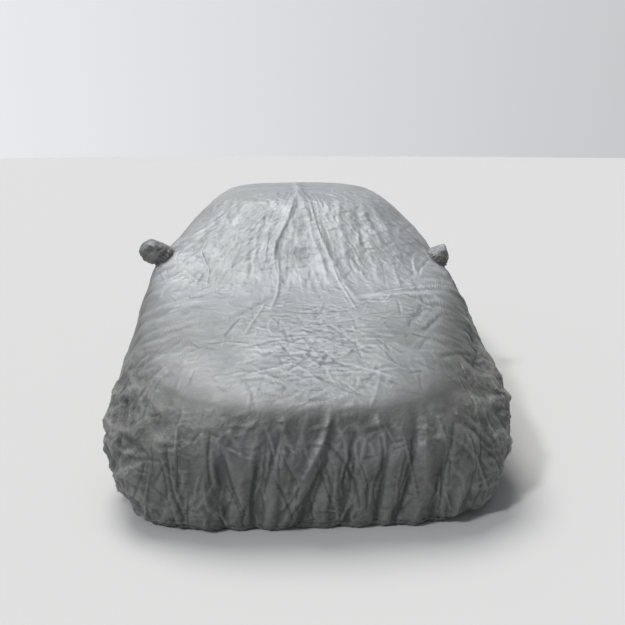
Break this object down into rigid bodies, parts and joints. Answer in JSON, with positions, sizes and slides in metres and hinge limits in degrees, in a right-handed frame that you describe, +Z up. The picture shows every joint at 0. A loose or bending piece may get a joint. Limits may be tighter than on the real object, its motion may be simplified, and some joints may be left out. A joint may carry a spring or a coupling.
{
  "type": "car cover",
  "caption": "Fitted cloth cover for a small hatchback: panels sewn along long seams, an elastic hem and mirror pockets, hollow inside.",
  "frame": {"origin": "under the middle of the roof, where the cover rests on the car's roof", "axes": "+Z up, the car's nose faces -Y, +X is the car's left side"},
  "size_m": [1.9775, 4.1632, 1.2713],
  "materials": {
    "cover_cloth": "silver-grey coated polyester, crinkled, with a soft sheen"
  },
  "bodies": {
    "root": {"centre_panel": "cover_cloth", "right_panel": "cover_cloth", "left_panel": "cover_cloth", "right_mirror_pocket": "cover_cloth", "left_mirror_pocket": "cover_cloth"}
  },
  "joints": []
}
